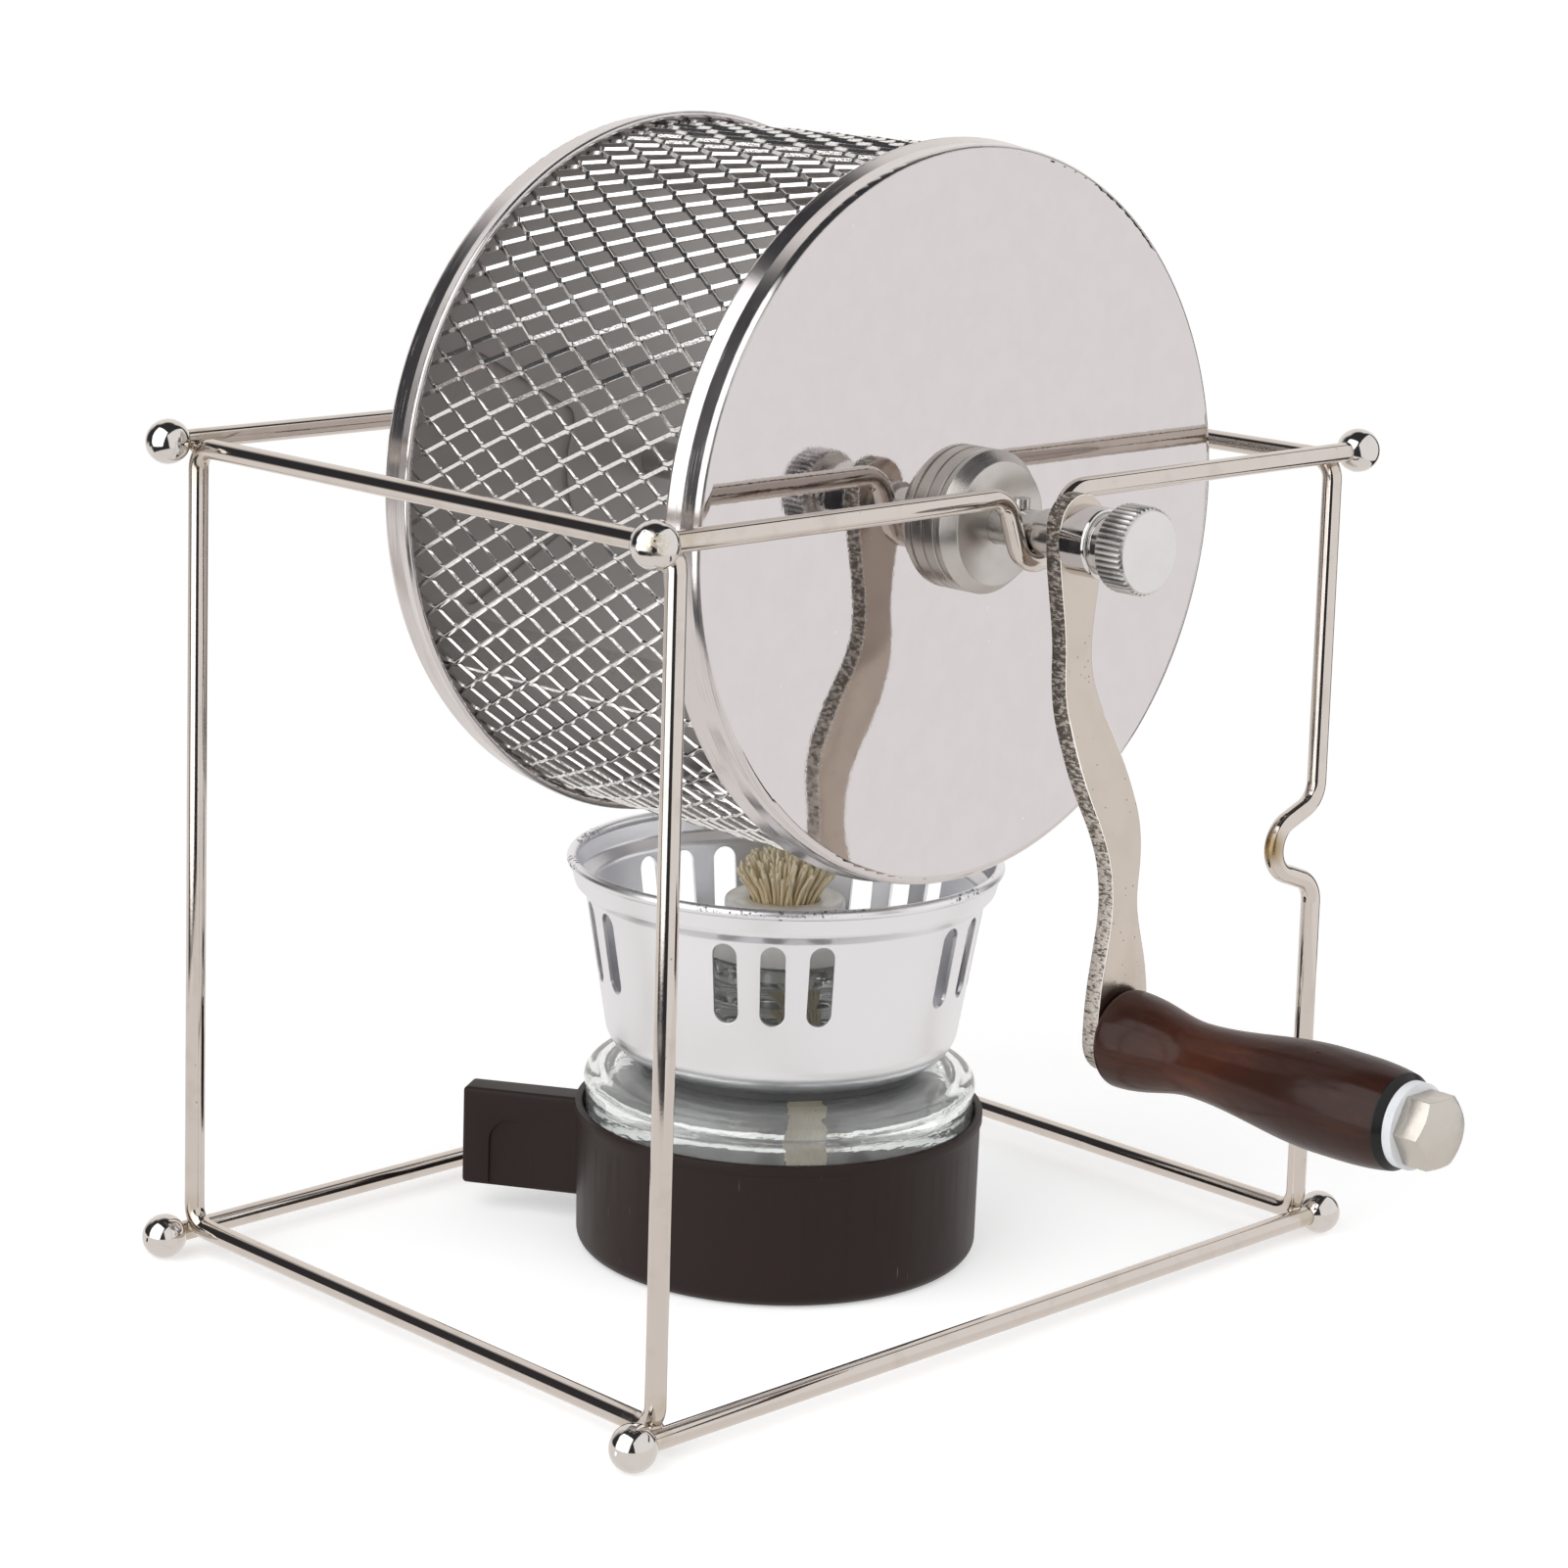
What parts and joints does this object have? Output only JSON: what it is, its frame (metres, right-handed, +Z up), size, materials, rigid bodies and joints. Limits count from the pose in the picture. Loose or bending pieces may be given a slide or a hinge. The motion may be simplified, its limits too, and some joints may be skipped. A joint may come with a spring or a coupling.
{
  "type": "hand-crank coffee roaster",
  "caption": "Hand-crank coffee roaster: a mesh drum with polished end plates turns on a wire stand above a spirit burner, driven by a stepped crank with a wooden grip.",
  "frame": {"origin": "on the floor, midway between the ball feet, on the underside of the burner's base", "axes": "+Z up; the axle lies along Y with the crank towards -Y; +X towards the side loop with the extra dips"},
  "size_m": [0.2138, 0.2612, 0.2439],
  "materials": {
    "stand_wire": "drawn nickel-bright wire",
    "ball_chrome": "polished",
    "cap_steel": "polished sheet",
    "mesh_steel": "bright expanded sheet",
    "axle_steel": "ground",
    "hub_steel": "turned satin",
    "arm_steel": "plated flat bar with pitted edges",
    "collar_chrome": "polished",
    "grip_wood": "dark gloss lacquer",
    "washer_nylon": "white",
    "bolt_nickel": "nickel plated",
    "base_plastic": "satin moulded",
    "bottle_glass": "clear, thick",
    "seat_rubber": "matt",
    "holder_white": "white glaze",
    "wick_cotton": "cotton strands",
    "cup_aluminium": "satin spun"
  },
  "bodies": {
    "stand": {"left_side_loop": "stand_wire", "right_side_loop": "stand_wire", "front_upper_rod": "stand_wire", "rear_upper_rod": "stand_wire", "front_lower_rod": "stand_wire", "rear_lower_rod": "stand_wire", "upper_ball_ends": "ball_chrome", "ball_feet": "ball_chrome"},
    "drum": {"front_cap": "cap_steel", "rear_cap": "cap_steel", "drum_mesh": "mesh_steel", "mixing_vanes": "mesh_steel", "drum_shaft": "axle_steel", "axle_stop_screws": "axle_steel", "front_hub": "hub_steel", "rear_hub": "hub_steel", "crank_arm": "arm_steel", "crank_collar": "collar_chrome", "grip_washer": "washer_nylon", "grip_bolt": "bolt_nickel"},
    "grip": {"wooden_grip": "grip_wood"},
    "nut": {"thumb_nut": "hub_steel"},
    "shutter": {"port_shutter": "cap_steel", "shutter_knob": "hub_steel"},
    "burner": {"burner_base": "base_plastic", "glass_bottle": "bottle_glass", "windshield_seat": "seat_rubber", "wick_holder": "holder_white", "wick": "wick_cotton", "windshield": "cup_aluminium"}
  },
  "joints": [
    {"name": "drum_spin", "type": "hinge", "parent": "stand", "child": "drum", "pos_m": [0, 0, 0.168], "axis": [0, -1, 0], "continuous": true},
    {"name": "grip_spin", "type": "hinge", "parent": "drum", "child": "grip", "pos_m": [0.0028, 0, 0.07], "axis": [0, -1, 0], "continuous": true},
    {"name": "nut_turn", "type": "hinge", "parent": "drum", "child": "nut", "pos_m": [0, 0, 0.168], "axis": [0, -1, 0], "range_deg": [0, 720]},
    {"name": "shutter_swing", "type": "hinge", "parent": "drum", "child": "shutter", "pos_m": [0, 0, 0.168], "axis": [0, 1, 0], "range_deg": [0, 75]},
    {"name": "burner_slide", "type": "slide", "parent": "stand", "child": "burner", "axis": [1, 0, 0], "range_m": [-0.04, 0.04]}
  ]
}
